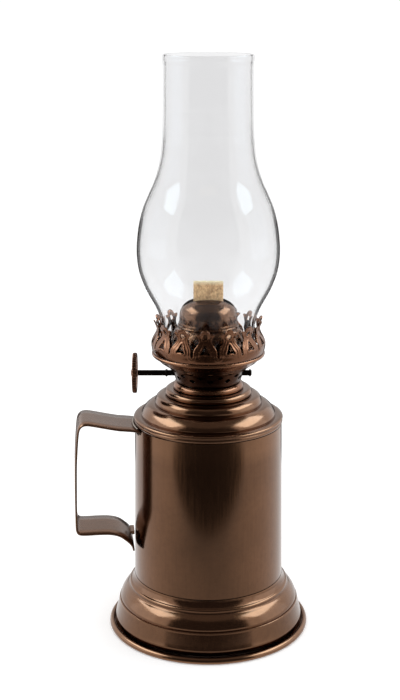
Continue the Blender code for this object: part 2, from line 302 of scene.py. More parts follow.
class Profile:
    """A line of (r, z) points read by distance along it."""

    def __init__(self, line):
        self.line = line
        self.normals = line_normals(line)
        self.along = [0.0]
        for a, b in zip(line, line[1:]):
            self.along.append(self.along[-1] + math.dist(a, b))

    def at(self, s, lift=0.0):
        """(r, z) at distance s, lifted outward off the line."""
        s = min(max(s, 0.0), self.along[-1])
        k = 0
        while k < len(self.along) - 2 and self.along[k + 1] < s:
            k += 1
        t = (s - self.along[k]) / (self.along[k + 1] - self.along[k])
        (r0, z0), (r1, z1) = self.line[k], self.line[k + 1]
        (n0, m0), (n1, m1) = self.normals[k], self.normals[k + 1]
        nr, nz = n0 + (n1 - n0) * t, m0 + (m1 - m0) * t
        return r0 + (r1 - r0) * t - nr * lift, z0 + (z1 - z0) * t - nz * lift

    def where(self, z):
        """Distance along the line at which it first reaches height z."""
        for k in range(len(self.line) - 1):
            if self.line[k][1] <= z <= self.line[k + 1][1]:
                rise = self.line[k + 1][1] - self.line[k][1]
                share = (z - self.line[k][1]) / rise if rise > 1e-9 else 0.0
                return self.along[k] + (self.along[k + 1] - self.along[k]) * share
        return self.along[-1]


# ---------------------------------------------------------------- materials

class Nodes:
    """Short names for building one material's node tree."""

    def __init__(self, name):
        self.mat = bpy.data.materials.new(name)
        self.mat.use_nodes = True
        self.tree = self.mat.node_tree
        self.shader = self.tree.nodes["Principled BSDF"]

    def add(self, kind, **settings):
        node = self.tree.nodes.new(kind)
        for key, value in settings.items():
            setattr(node, key, value)
        return node

    def link(self, a, b):
        self.tree.links.new(a, b)

    def place(self, stretch=(1.0, 1.0, 1.0)):
        """The piece's own coordinates in metres, stretched."""
        coords = self.add("ShaderNodeTexCoord")
        mapping = self.add("ShaderNodeMapping")
        mapping.inputs["Scale"].default_value = stretch
        self.link(coords.outputs["Object"], mapping.inputs["Vector"])
        return mapping.outputs["Vector"]

    def noise(self, scale, detail=4.0, stretch=(1.0, 1.0, 1.0), roughness=0.55):
        node = self.add("ShaderNodeTexNoise")
        node.inputs["Scale"].default_value = scale
        node.inputs["Detail"].default_value = detail
        node.inputs["Roughness"].default_value = roughness
        self.link(self.place(stretch), node.inputs["Vector"])
        return node.outputs["Fac"]

    def ramp(self, value, stops):
        """A colour or grey ramp: stops are (position, colour or grey)."""
        node = self.add("ShaderNodeValToRGB")
        while len(node.color_ramp.elements) < len(stops):
            node.color_ramp.elements.new(0.5)
        for element, (at, tone) in zip(node.color_ramp.elements, stops):
            element.position = at
            rgb = (tone, tone, tone) if isinstance(tone, float) else tone
            element.color = (*rgb, 1.0)
        self.link(value, node.inputs["Fac"])
        return node.outputs["Color"]

    def mix(self, amount, a, b, blend="MIX"):
        """Colour a towards colour b; each may be a socket or a plain colour."""
        node = self.add("ShaderNodeMix", data_type="RGBA", blend_type=blend)
        self.feed(amount, node.inputs[0])
        self.feed(a, node.inputs[6])
        self.feed(b, node.inputs[7])
        return node.outputs[2]

    def maths(self, kind, a, b=0.0):
        node = self.add("ShaderNodeMath", operation=kind)
        self.feed(a, node.inputs[0])
        self.feed(b, node.inputs[1])
        return node.outputs[0]

    def feed(self, value, socket):
        if isinstance(value, bpy.types.NodeSocket):
            self.link(value, socket)
        elif isinstance(value, tuple):
            socket.default_value = (*value, 1.0)
        else:
            socket.default_value = value

    def attribute(self, name):
        return self.add("ShaderNodeAttribute", attribute_name=name).outputs["Fac"]

    def bump(self, height, distance, strength=1.0):
        node = self.add("ShaderNodeBump")
        node.inputs["Strength"].default_value = strength
        node.inputs["Distance"].default_value = distance
        self.link(height, node.inputs["Height"])
        return node.outputs["Normal"]

    def set(self, **values):
        for key, value in values.items():
            self.shader.inputs[key.replace("_", " ")].default_value = value

    def to(self, value, name):
        self.link(value, self.shader.inputs[name])


def aged_copper(name, base, deep, rubbed, rough=(0.20, 0.34), brushed=(1.0, 1.0, 60.0), coat=0.3):
    """Lacquered, darkened copper: mottled brown, darker in hollows, rubbed on edges."""
    m = Nodes(name)
    cloud = m.ramp(m.noise(38.0, 3.0), [(0.35, 0.0), (0.70, 1.0)])
    speck = m.ramp(m.noise(420.0, 5.0, roughness=0.7), [(0.45, 0.0), (0.75, 1.0)])
    tone = m.mix(cloud, base, tuple(c * 0.80 for c in base))
    tone = m.mix(m.maths("MULTIPLY", speck, 0.22), tone, deep)
    tone = m.mix(m.maths("MULTIPLY", m.attribute("hollow"), 0.55), tone, deep)
    tone = m.mix(m.maths("MULTIPLY", m.attribute("proud"), 0.45), tone, rubbed)
    lines = m.noise(95.0, 6.0, brushed, 0.65)
    streak = m.ramp(lines, [(0.40, 0.0), (0.62, 1.0)])
    tone = m.mix(m.maths("MULTIPLY", streak, 0.10), tone, rubbed)
    m.to(tone, "Base Color")
    grain = m.maths("ADD", m.maths("MULTIPLY", cloud, 0.4), m.maths("MULTIPLY", streak, 0.6))
    m.to(m.ramp(grain, [(0.0, rough[0]), (1.0, rough[1])]), "Roughness")
    m.to(m.bump(lines, 0.00002, 0.20), "Normal")
    m.set(Metallic=1.0, Coat_Weight=coat, Coat_Roughness=0.10)
    return m.mat


def plain_metal(name, base, rough, speck_tone):
    """Duller metal for the burner's inner works and the black shaft."""
    m = Nodes(name)
    cloud = m.noise(160.0, 5.0)
    m.to(m.mix(m.ramp(cloud, [(0.35, 0.0), (0.7, 1.0)]), base, speck_tone), "Base Color")
    m.to(m.ramp(cloud, [(0.3, rough), (0.7, min(1.0, rough + 0.18))]), "Roughness")
    m.to(m.bump(m.noise(900.0, 3.0), 0.00003, 0.4), "Normal")
    m.set(Metallic=1.0)
    return m.mat


def clear_glass():
    """Thin blown glass: hardly bends what is behind it, and shines like a lacquer."""
    m = Nodes("lamp_glass")
    m.set(Base_Color=(0.865, 0.865, 0.87, 1.0), Metallic=0.0, Roughness=0.0, IOR=1.04,
          Transmission_Weight=1.0, Coat_Weight=0.5, Coat_Roughness=0.06, Coat_IOR=1.5)
    ripple = m.noise(14.0, 2.0, (1.0, 1.0, 0.45))
    m.to(m.bump(ripple, 0.0010, 0.02), "Normal")
    m.to(m.bump(ripple, 0.0010, 0.12), "Coat Normal")
    return m.mat


def wick_cotton():
    """Coarse woven cotton, cream at the trimmed top and tan lower down."""
    m = Nodes("wick_cotton")
    fibre = m.noise(1500.0, 6.0, (1.0, 1.0, 0.5), 0.75)
    blot = m.noise(330.0, 4.0)
    tone = m.mix(m.ramp(fibre, [(0.35, 0.0), (0.65, 1.0)]), (0.50, 0.27, 0.12), (1.0, 0.70, 0.38))
    tone = m.mix(m.ramp(blot, [(0.52, 0.0), (0.70, 0.7)]), tone, (0.26, 0.14, 0.06))
    tone = m.mix(m.attribute("cream"), tone, (1.0, 0.88, 0.60))
    m.to(tone, "Base Color")
    m.to(m.bump(fibre, 0.0004, 0.8), "Normal")
    m.set(Metallic=0.0, Roughness=0.92, Sheen_Weight=0.3)
    return m.mat


COPPER = (0.186, 0.090, 0.046)
COPPER_DEEP = (0.060, 0.022, 0.010)
COPPER_RUBBED = (0.34, 0.17, 0.085)
GALLERY = (0.190, 0.075, 0.034)

tank_copper = aged_copper("tank_copper", COPPER, COPPER_DEEP, COPPER_RUBBED,
                          (0.14, 0.24), (14.0, 14.0, 0.6))
burner_copper = aged_copper("burner_copper", GALLERY, COPPER_DEEP, (0.42, 0.20, 0.10),
                            (0.16, 0.32), (3.0, 3.0, 12.0), 0.35)
dome_copper = aged_copper("dome_copper", COPPER, COPPER_DEEP, COPPER_RUBBED,
                          (0.14, 0.22), (3.0, 3.0, 24.0), 0.3)
strap_copper = aged_copper("strap_copper", COPPER, COPPER_DEEP, COPPER_RUBBED,
                           (0.20, 0.34), (2.0, 60.0, 2.0))
# Painted shade: the pierced bowl's copper is a much darker copy of the lamp's copper, standing in
# for the shade under the gallery dish.
basket_copper_painted_shade = aged_copper("basket_copper_painted_shade", (0.060, 0.026, 0.016), (0.018, 0.008, 0.005),
                            (0.15, 0.065, 0.035), (0.22, 0.40), (3.0, 3.0, 12.0), 0.25)
# Painted shade: the burner's inner works get a brass darker than the lamp's copper, standing in for
# the shade inside the burner seen through the bowl's holes.
old_brass = plain_metal("old_brass", (0.090, 0.052, 0.024), 0.38, (0.04, 0.022, 0.010))
black_steel = plain_metal("black_steel", (0.012, 0.010, 0.009), 0.42, (0.03, 0.022, 0.018))
dull_solder = plain_metal("dull_solder", (0.50, 0.44, 0.38), 0.30, (0.28, 0.22, 0.18))
glass = clear_glass()
cotton = wick_cotton()


# ---------------------------------------------------------------- foot and tank

def make_foot():
    """Shallow pan with a rolled rim, and the stepped skirt standing in it."""
    pan = smooth_line([(50.3, 0.0, True), (51.0, 0.25), (51.3, 0.9), (51.2, 1.6), (50.8, 2.3),
                       (50.1, 2.8), (49.4, 2.75), (48.8, 2.3), (48.3, 1.9), (47.0, 1.7),
                       (45.0, 1.5)], 0.25)
    pan = [(0.0, 0.0)] + pan + [(0.0, 1.4)]
    piece = lathe("foot_pan", pan, tank_copper, foot=node_foot("base_pan"))
    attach(piece, "lamp_body")
    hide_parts("base_pan")

    skirt = smooth_line([(46.4, 0.1), (47.3, 0.9), (47.95, 2.0), (48.15, 2.9), (47.95, 3.7),
                         (47.6, 5.0), (46.9, 7.8), (46.4, 9.8), (46.2, 10.6), (46.1, 11.2),
                         (45.6, 11.45, True), (45.2, 11.5), (45.45, 11.9), (45.5, 12.6),
                         (45.15, 13.6), (44.6, 14.7), (43.9, 15.9), (43.0, 17.0), (42.1, 17.9),
                         (41.4, 18.45), (41.0, 18.9), (40.75, 19.3, True), (40.85, 19.9),
                         (40.75, 20.5), (40.3, 20.95), (39.8, 21.15, True), (39.35, 21.7),
                         (38.8, 22.6), (38.4, 23.6), (38.15, 24.75)], 0.22)
    piece = lathe("foot_skirt", shell(skirt, 0.7), tank_copper, foot=node_foot("base_skirt"))
    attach(piece, "lamp_body")
    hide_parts("base_skirt")


def make_tank():
    """Slightly tapered wall, the ringed shoulder and the collar the burner screws into."""
    low, high = (v[2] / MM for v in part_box("tank_wall"))
    tall = high - low
    radius, taper, steps = 38.1, 0.6, 24
    wall = [(radius - taper * k / steps, tall * k / steps) for k in range(steps + 1)]
    piece = lathe("tank_side", shell(wall, 0.7), tank_copper, foot=low)
    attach(piece, "lamp_body")
    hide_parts("tank_wall")

    dome = smooth_line([(37.5, 0.0), (37.75, 0.35), (37.9, 0.85), (37.8, 1.35), (37.6, 1.7, True),
                        (37.7, 2.05), (37.95, 2.3), (38.05, 2.7), (37.85, 3.1),
                        (37.45, 3.35), (36.9, 3.6), (35.8, 3.75),
                        (34.1, 3.75, True), (34.2, 4.3), (34.0, 5.2), (33.2, 6.5),
                        (32.0, 7.9), (30.5, 9.05), (29.0, 9.65), (27.9, 9.8), (27.1, 9.75, True),
                        (27.2, 10.5), (27.1, 11.5), (26.7, 12.5), (26.0, 13.4), (25.0, 14.0),
                        (23.8, 14.3), (22.0, 14.4), (17.0, 14.4)], 0.25)
    piece = lathe("tank_top", shell(dome, 0.55), tank_copper, foot=node_foot("tank_shoulder"))
    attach(piece, "lamp_body")
    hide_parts("tank_shoulder")

    ring = smooth_line([(16.6, 0.0, True), (16.6, 6.4, True), (21.2, 6.4), (21.8, 6.65),
                        (22.1, 7.2), (22.1, 7.8), (21.8, 8.4), (21.2, 8.95), (20.5, 9.25),
                        (19.6, 9.3, True), (15.4, 9.3, True), (15.4, 0.0)], 0.25)
    piece = lathe("tank_collar", ring, tank_copper, foot=node_foot("collar"))
    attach(piece, "lamp_body")
    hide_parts("collar")


def strap_path():
    """The strap's middle line: distance from the lamp's axis and height, in millimetres."""
    return smooth_line([(38.0, 106.25), (41.0, 106.7), (50.0, 108.4), (57.5, 110.0),
                        (61.6, 110.75), (63.9, 110.6), (65.3, 109.7), (66.2, 108.2),
                        (66.7, 105.6), (67.2, 100.0), (67.8, 90.0), (68.0, 79.0), (68.1, 68.0),
                        (68.0, 58.0), (67.7, 55.3), (66.9, 54.0), (65.4, 53.5), (62.0, 53.4),
                        (56.0, 53.5), (50.5, 53.2), (46.2, 52.0), (42.8, 49.6), (40.4, 47.2),
                        (39.5, 45.4), (39.25, 44.0)], 0.6)


def make_handle():
    """A flat strap with slightly rounded edges and ends that follow the round tank."""
    path = strap_path()
    normals = line_normals(path)
    half_width, thick = 12.5, 1.0
    edge = 0.35
    ring_shape = [(-half_width, -thick / 2 + edge), (-half_width + edge, -thick / 2),
                  (-half_width / 2, -thick / 2), (0.0, -thick / 2), (half_width / 2, -thick / 2),
                  (half_width - edge, -thick / 2), (half_width, -thick / 2 + edge),
                  (half_width, thick / 2 - edge), (half_width - edge, thick / 2),
                  (half_width / 2, thick / 2), (0.0, thick / 2), (-half_width / 2, thick / 2),
                  (-half_width + edge, thick / 2), (-half_width, thick / 2 - edge)]
    wall_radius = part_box("tank_shoulder")[1][0] / MM - 0.3
    turn = Matrix.Rotation(HANDLE_ANGLE, 3, "Z")
    verts, faces = [], []
    n = len(ring_shape)
    for k, ((u, z), (nu, nz)) in enumerate(zip(path, normals)):
        for v, w in ring_shape:
            reach = u + nu * w
            if u < 46.0 and z > 80.0:
                touch = math.sqrt(wall_radius ** 2 - v * v) + 0.2
                share = (46.0 - u) / 8.0
                reach = reach * (1 - share) + (touch + nu * w) * share
                if k == 0:
                    reach = touch
            verts.append(turn @ Vector((reach, v, z + nz * w)))
    for k in range(len(path) - 1):
        for i in range(n):
            j = (i + 1) % n
            faces.append((k * n + i, k * n + j, (k + 1) * n + j, (k + 1) * n + i))
    faces.append(tuple(range(n)))
    last = (len(path) - 1) * n
    faces.append(tuple(range(last, last + n))[::-1])
    piece = mesh_object("handle", verts, faces, strap_copper, 50.0)
    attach(piece, "lamp_body")
    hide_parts("handle_strap")
    make_solder_seam()


def make_solder_seam():
    """A thin uneven run of solder along the strap's upper end."""
    random.seed(5)
    foot = node_foot("handle_solder_top")
    reach, steps, sides = math.radians(17.0), 48, 8
    verts, faces = [], []
    for k in range(steps + 1):
        a = HANDLE_ANGLE - reach + 2 * reach * k / steps
        fat = 0.42 + 0.08 * random.uniform(-1, 1)
        for i in range(sides):
            b = 2 * math.pi * i / sides
            r = 38.55 + fat * math.cos(b)
            verts.append((r * math.cos(a), r * math.sin(a), foot + 0.4 + fat * 0.9 * math.sin(b)))
    for k in range(steps):
        for i in range(sides):
            j = (i + 1) % sides
            faces.append((k * sides + i, k * sides + j, (k + 1) * sides + j, (k + 1) * sides + i))
    faces.append(tuple(range(sides)))
    faces.append(tuple(range(steps * sides, (steps + 1) * sides))[::-1])
    piece = mesh_object("solder_seam", verts, faces, dull_solder)
    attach(piece, "lamp_body")
    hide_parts("handle_solder_top")


# ---------------------------------------------------------------- burner

def make_burner_base():
    """Screwed ferrule with a beaded flange, and the pierced bowl above it."""
    ferrule = smooth_line([(14.4, 0.0, True), (14.4, 8.25, True), (17.4, 8.25), (17.8, 8.5),
                           (17.95, 9.0), (17.85, 9.7), (17.5, 10.3), (17.0, 10.8),
                           (16.5, 11.1), (16.1, 11.25, True), (13.4, 11.25, True),
                           (13.4, 0.0)], 0.25)
    piece = lathe("burner_ferrule_ring", ferrule, burner_copper,
                  foot=node_foot("burner_ferrule"))
    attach(piece, "burner")
    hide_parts("burner_ferrule")
    make_basket()


def diamond(u, s, half_wide, half_tall):
    """A slightly round-cornered diamond hole."""
    loop = []
    for k in range(20):
        a = 2 * math.pi * k / 20
        c, d = math.cos(a), math.sin(a)
        loop.append((u + half_wide * math.copysign(abs(c) ** 1.6, c),
                     s + half_tall * math.copysign(abs(d) ** 1.6, d)))
    return loop


def make_basket():
    """Pierced bowl: three staggered rows of diamond holes, a round hole for the shaft."""
    foot = node_foot("burner_basket")
    wall = Profile(smooth_line([(14.0, 0.0), (16.0, 0.05), (16.55, 0.55), (16.95, 1.8),
                                (17.5, 3.2), (18.3, 4.75), (19.2, 6.2), (20.2, 7.5),
                                (21.4, 8.45), (22.9, 9.5), (24.3, 10.45)], 0.4))
    size = wall.along[-1]
    around = 12
    radius = 20.0
    half = math.pi * radius / around
    rows = ((wall.where(3.6), 0.0), (wall.where(5.7), half), (wall.where(7.8), 0.0))
    holes = []
    for s, shift in rows[::2]:
        holes.append(diamond(shift, s, 2.0, 1.35))
    outline = [(-half, 0.0), (half, 0.0)]
    notch = [(half - p[0], rows[1][0] + p[1]) for p in
             ((0.0, -1.3), (0.8, -0.8), (2.0, 0.0), (0.8, 0.8), (0.0, 1.3))]
    outline += notch + [(half, size), (-half, size)]
    outline += [(-u, s) for u, s in reversed(notch)]
    flat = cut_sheet(outline, holes, 0.55)
    turn = math.radians(-90.0 + 3.0)

    def place(u, s, side):
        r, z = wall.at(s, -0.5 * side)
        return u / radius, r, z + foot

    def worn(u, s):
        return 0.5 * max(0.0, 1.0 - min(from_line((u, s), h + h[:1]) for h in holes) / 0.5)

    piece = pressed_ring("burner_bowl", around, turn, flat, place, basket_copper_painted_shade, worn)
    cut_shaft_holes(piece)
    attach(piece, "burner")
    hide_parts("burner_basket")


def cut_shaft_holes(piece):
    """Drills the bowl for the cross shaft."""
    y, z = shaft_axis()
    ring = [(0.0, -30.0), (1.75, -30.0), (1.75, 30.0), (0.0, 30.0)]
    cutter = lathe("shaft_drill", ring, basket_copper_painted_shade, segments=32)
    turn_to_x(cutter, y, z)
    boolean_cut(piece, cutter)


def boolean_cut(piece, cutter):
    """Cuts one mesh out of another and drops the cutter."""
    mod = piece.modifiers.new("cut", "BOOLEAN")
    mod.operation = "DIFFERENCE"
    mod.solver = "EXACT"
    mod.object = cutter
    apply_modifiers(piece)
    bpy.data.objects.remove(cutter, do_unlink=True)


def make_gallery_plate():
    """The dish: an inner ledge, and outside it the rolled rim over the bowl's flare."""
    foot = node_foot("gallery_plate")
    ledge = [(17.4, 0.25), (20.7, 0.25), (20.9, 0.75), (17.4, 0.75)]
    rim = smooth_line([(24.5, 2.75, True), (26.0, 4.15), (27.3, 5.25), (27.8, 5.6, True),
                       (28.25, 5.75), (28.6, 6.2), (28.65, 6.85), (28.3, 7.3), (27.7, 7.35),
                       (27.3, 7.1), (26.3, 6.1), (24.9, 4.7), (23.6, 3.45), (23.3, 3.1, True)], 0.3)
    for name, section in (("gallery_ledge", ledge), ("gallery_dish", rim)):
        piece = lathe(name, section, burner_copper, foot=foot)
        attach(piece, "burner")
        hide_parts("gallery_plate")


# The crown of prongs: radius of the sheet and height above its foot.
CROWN_SIDE = [(28.2, 0.0), (28.5, 0.7), (28.75, 2.2), (28.8, 3.6), (28.6, 5.0), (28.0, 6.5),
              (27.2, 8.0), (26.5, 9.5), (26.1, 10.8), (26.0, 12.0), (26.3, 13.2),
              (26.8, 14.4), (27.3, 15.4), (27.9, 16.5)]
# One prong's right-hand edge: half-width and height; the left-hand edge mirrors it.
PRONG_EDGE = [(6.28, 3.0), (6.0, 3.15), (5.78, 3.6), (5.75, 4.6), (5.75, 5.6), (5.55, 6.6),
              (5.1, 7.6), (4.4, 8.6), (3.75, 9.5), (3.35, 10.3), (3.2, 11.0), (3.35, 11.7),
              (3.9, 12.5), (4.55, 13.2), (4.85, 13.8), (4.65, 14.25), (3.8, 14.3),
              (2.9, 14.15), (2.45, 14.3), (2.35, 14.9), (1.9, 15.7), (1.1, 16.3), (0.0, 16.5)]
# Half of the bell-shaped opening: half-width and height, from its apex down.
BELL = [(0.0, 9.0), (0.5, 8.7), (0.8, 8.0), (1.1, 7.1), (1.5, 6.2), (2.05, 5.3), (2.25, 4.8),
        (2.0, 4.45), (1.3, 4.6), (0.6, 4.8), (0.0, 4.85)]
EYE = (0.0, 12.7, 1.2)


def make_crown():
    """Fourteen pressed prongs on one band: bell opening, waist and pierced trefoil head."""
    foot = node_foot("gallery_crown")
    wall = Profile(smooth_line(CROWN_SIDE, 0.4))
    stretch = wall.along[-1] / CROWN_SIDE[-1][1]
    half = math.pi * 28.0 / PRONGS
    edge = smooth_line([(u * half / 6.28, h * stretch) for u, h in PRONG_EDGE], 0.35)
    edge[0] = (half, edge[0][1])
    bell = smooth_line([(u, h * stretch) for u, h in BELL], 0.3)
    bell = bell + [(-u, h) for u, h in reversed(bell[1:-1])]
    eye_u, eye_h, eye_r = EYE
    eye = [(eye_u + eye_r * math.cos(k * math.pi / 12),
            (eye_h + eye_r * math.sin(k * math.pi / 12)) * stretch) for k in range(24)]
    outline = [(-half, 0.0), (half, 0.0)] + edge + [(-u, h) for u, h in reversed(edge[:-1])]
    flat = cut_sheet(outline, [bell, eye], 0.42)
    contour = edge + [(-u, h) for u, h in reversed(edge[:-1])]
    bell_line, eye_line = bell + bell[:1], eye + eye[:1]

    def ridge(gap, middle, width):
        return math.exp(-((gap - middle) / width) ** 2)

    def relief(u, s):
        side = from_line((u, s), contour)
        lift = 0.20 * ridge(side, 0.45, 0.30) + 0.13 * ridge(side, 1.55, 0.32)
        lift += 0.22 * ridge(from_line((u, s), bell_line), 0.45, 0.32)
        lift += 0.24 * ridge(from_line((u, s), eye_line), 0.42, 0.30)
        return lift

    def place(u, s, side):
        r, z = wall.at(s, relief(u, s) - 0.5 * side)
        return u / 28.0, r, z + foot

    def worn(u, s):
        return min(1.0, relief(u, s) * 1.6)

    turn = -math.pi / 2 + PRONG_TURN
    piece = pressed_ring("prong_crown", PRONGS, turn, flat, place, burner_copper, worn)
    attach(piece, "burner")
    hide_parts("gallery_crown")


def make_dome():
    """Flame spreader: a flared skirt, two rings, a round top and the flame slot."""
    line = smooth_line([(20.6, 0.0), (20.6, 4.0), (20.3, 8.0), (19.6, 11.5), (18.6, 14.6),
                        (17.3, 17.2), (16.2, 18.6), (15.55, 19.1, True), (15.65, 19.6),
                        (15.5, 20.15), (15.05, 20.5, True), (15.1, 20.9), (14.9, 21.4),
                        (14.7, 21.8, True), (14.65, 23.0), (14.55, 24.9), (14.3, 26.6),
                        (13.85, 28.0), (12.9, 29.6), (11.6, 30.8), (9.8, 31.85), (7.6, 32.6),
                        (5.0, 33.05), (2.4, 33.2)], 0.4)
    section = shell(line, 0.6)
    top = len(line)
    section.insert(top, (0.0, 33.25))
    section.insert(top + 1, (0.0, 32.65))
    piece = lathe("flame_spreader", section, dome_copper, foot=node_foot("flame_dome"))
    cut_slot(piece)
    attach(piece, "burner")
    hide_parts("flame_dome")


def cut_slot(piece):
    """Cuts the long opening through the dome's top."""
    half, r, points = 10.2, 3.1, 16
    outline = []
    for side in (1, -1):
        for k in range(points + 1):
            a = math.radians(-90.0 + 180.0 * k / points)
            outline.append((side * (half + r * math.cos(a)), side * r * math.sin(a)))
    low, high = 163.5, 176.0
    n = len(outline)
    verts = [(x, y, low) for x, y in outline] + [(x, y, high) for x, y in outline]
    faces = [tuple(range(n))[::-1], tuple(range(n, 2 * n))]
    faces += [(i, (i + 1) % n, n + (i + 1) % n, n + i) for i in range(n)]
    cutter = mesh_object("slot_cutter", verts, faces, burner_copper)
    boolean_cut(piece, cutter)


def apply_modifiers(obj):
    """Replaces a piece's mesh with the modified one."""
    graph = bpy.context.evaluated_depsgraph_get()
    mesh = bpy.data.meshes.new_from_object(obj.evaluated_get(graph))
    obj.modifiers.clear()
    obj.data = mesh


# ---------------------------------------------------------------- wick drive

def shaft_axis():
    """(y, z) of the cross shaft, in millimetres."""
    low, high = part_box("wick_shaft")
    return (low[1] + high[1]) / 2 / MM, (low[2] + high[2]) / 2 / MM


def make_thumb_wheel():
    """Pressed wheel with a milled rim, a dished web and a domed rivet."""
    y, z = shaft_axis()
    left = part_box("thumb_wheel")[0][0] / MM
    teeth, segments = 44, 352
    rim_start, tooth_depth = 9.3, 0.35

    def milled(r, i):
        if r < rim_start:
            return r
        return r - tooth_depth * (0.5 + 0.5 * math.cos(2 * math.pi * teeth * i / segments))

    web = smooth_line([(0.0, 2.2), (2.2, 2.2, True), (2.5, 1.6), (4.0, 1.5), (7.6, 1.55),
                       (8.4, 1.9), (9.1, 2.2), (9.8, 2.25), (10.1, 1.9), (10.1, 0.6),
                       (9.8, 0.15), (9.1, 0.1), (8.5, 0.3), (7.7, 0.75), (4.0, 0.75),
                       (2.6, 0.7), (0.0, 0.7)], 0.3)
    web = [(max(r, 0.0), x) for r, x in web]
    piece = lathe("thumb_wheel_disc", web, burner_copper, foot=left, segments=segments,
                  radius_at=milled)
    turn_to_x(piece, y, z)
    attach(piece, "wick_drive")
    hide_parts("thumb_wheel")

    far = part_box("thumb_rivet")[0][0] / MM
    button = smooth_line([(0.0, 1.5), (2.2, 1.5, True), (2.25, 1.1), (1.9, 0.55), (1.2, 0.15),
                          (0.0, 0.0)], 0.12)
    button = [(max(r, 0.0), x) for r, x in button]
    piece = lathe("thumb_button", button, burner_copper, foot=far, segments=64)
    turn_to_x(piece, y, z)
    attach(piece, "wick_drive")
    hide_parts("thumb_rivet")


def make_bushes(y, z):
    """Slim dark collars where the shaft passes the bowl."""
    for node in ("shaft_bush_left", "shaft_bush_right"):
        low, high = (v[0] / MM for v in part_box(node))
        size = high - low
        ring = [(1.5, 0.0), (1.75, 0.0), (1.85, 0.15), (1.85, size - 0.15), (1.75, size),
                (1.5, size)]
        piece = lathe(node + "_collar", ring, black_steel, low, 48)
        turn_to_x(piece, y, z)
        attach(piece, "burner")
        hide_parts(node)


def make_shaft():
    """The black cross shaft with its bushes, eased at both ends."""
    y, z = shaft_axis()
    make_bushes(y, z)
    low, high = (v[0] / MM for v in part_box("wick_shaft"))
    length = high - low
    bar = smooth_line([(0.0, 0.0, True), (1.2, 0.0), (1.4, 0.25, True), (1.4, length - 0.35, True),
                       (1.15, length - 0.05), (0.0, length)], 1.0)
    bar = [(max(r, 0.0), x) for r, x in bar]
    piece = lathe("cross_shaft", bar, black_steel, low, 48)
    turn_to_x(piece, y, z)
    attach(piece, "wick_drive")
    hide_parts("wick_shaft")


# ---------------------------------------------------------------- wick and glass

def make_wick():
    """Flat woven strip: rows of raised stitches and a slightly frayed, trimmed top."""
    random.seed(11)
    low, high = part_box("wick")
    half_x, half_y = high[0] / MM, high[1] / MM
    foot, top = low[2] / MM, high[2] / MM
    across, up = 40, 150
    verts, faces, cream = [], [], []
    front, back = [], []
    for side, store in ((-1, front), (1, back)):
        for j in range(up + 1):
            t = j / up
            z = foot + (top - foot) * (1 - (1 - t) ** 1.7)
            row = []
            for i in range(across + 1):
                s = -1 + 2 * i / across
                x = s * (half_x - 0.15)
                offset = 0 if int((s + 1) * 5) % 2 else 1.6
                stitch = math.sin(x * 4.2) * math.cos(z * 2.6 + offset)
                thick = (half_y - 0.32) * (1 - abs(s) ** 6) ** 0.5 + 0.05
                y = side * (thick + 0.22 * stitch * (1 - abs(s) ** 4))
                frayed = random.uniform(-0.5, 0.0) if j == up else 0.0
                row.append(len(verts))
                verts.append((x, y, z + frayed))
                near_top = max(0.0, 1 - (top - z) / 2.2)
                cream.append(min(1.0, near_top * random.uniform(0.75, 1.2)))
            store.append(row)
    for j in range(up):
        for i in range(across):
            faces.append((front[j][i], front[j][i + 1], front[j + 1][i + 1], front[j + 1][i]))
            faces.append((back[j][i], back[j + 1][i], back[j + 1][i + 1], back[j][i + 1]))
        faces.append((front[j][0], front[j + 1][0], back[j + 1][0], back[j][0]))
        faces.append((front[j][-1], back[j][-1], back[j + 1][-1], front[j + 1][-1]))
    for i in range(across):
        faces.append((front[up][i], front[up][i + 1], back[up][i + 1], back[up][i]))
        faces.append((front[0][i], back[0][i], back[0][i + 1], front[0][i + 1]))
    piece = mesh_object("wick_strip", verts, faces, cotton, 80.0)
    layer = piece.data.attributes.new("cream", "FLOAT", "POINT")
    layer.data.foreach_set("value", cream)
    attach(piece, "wick")
    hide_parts("wick")


def make_chimney():
    """Glass 1.5 mm thick, open at both ends, with a fire-rounded top rim."""
    line = smooth_line([(24.3, 0.0), (24.45, 0.6), (24.3, 2.0), (24.0, 6.0), (23.6, 10.5),
                        (23.5, 13.8), (23.65, 16.3), (24.2, 19.0), (25.3, 22.8), (26.7, 26.2),
                        (28.4, 29.4), (30.3, 32.8), (31.9, 36.0), (33.3, 39.6), (34.5, 43.0),
                        (35.2, 46.2), (35.7, 49.5), (35.95, 54.0), (35.85, 58.0), (35.45, 62.5),
                        (34.9, 66.6), (34.1, 70.5), (33.1, 74.3), (31.9, 77.9), (30.3, 81.6),
                        (28.8, 85.0), (27.3, 88.4), (26.1, 91.6), (25.1, 95.0), (24.3, 98.2),
                        (23.7, 101.4), (23.25, 105.0), (22.95, 109.0), (22.75, 114.0),
                        (22.55, 122.0), (22.45, 132.0), (22.4, 140.0), (22.4, 147.0),
                        (22.6, 148.2), (22.72, 149.4), (22.72, 151.0), (22.55, 151.8),
                        (22.1, 152.2)], 1.0)
    inner = [(r + n[0] * 1.5, z + n[1] * 1.5) for (r, z), n in zip(line, line_normals(line))]
    inner = [p for p in inner if 0.4 < p[1] < 150.6]
    rim = [(21.6, 152.25), (21.25, 151.9)]
    section = line + rim + inner[::-1]
    piece = lathe("glass_chimney", section, glass, node_foot("chimney"), 160)
    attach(piece, "chimney")
    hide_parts("chimney")


# ---------------------------------------------------------------- CAD nodes kept

def finish_cad_nodes():
    """The inner works and two dabs of solder keep their CAD shape, with a detailed metal."""
    kept = {"tank_floor": tank_copper, "handle_solder_under": dull_solder,
            "handle_solder_bottom": strap_copper, "burner_floor": old_brass,
            "wick_tube": old_brass, "vent_tube": old_brass, "spur_box": old_brass,
            "spur_wheel_1": old_brass, "spur_wheel_2": old_brass}
    for name, mat in kept.items():
        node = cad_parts[name]
        for slot in node.material_slots:
            slot.material = mat


# ---------------------------------------------------------------- studio

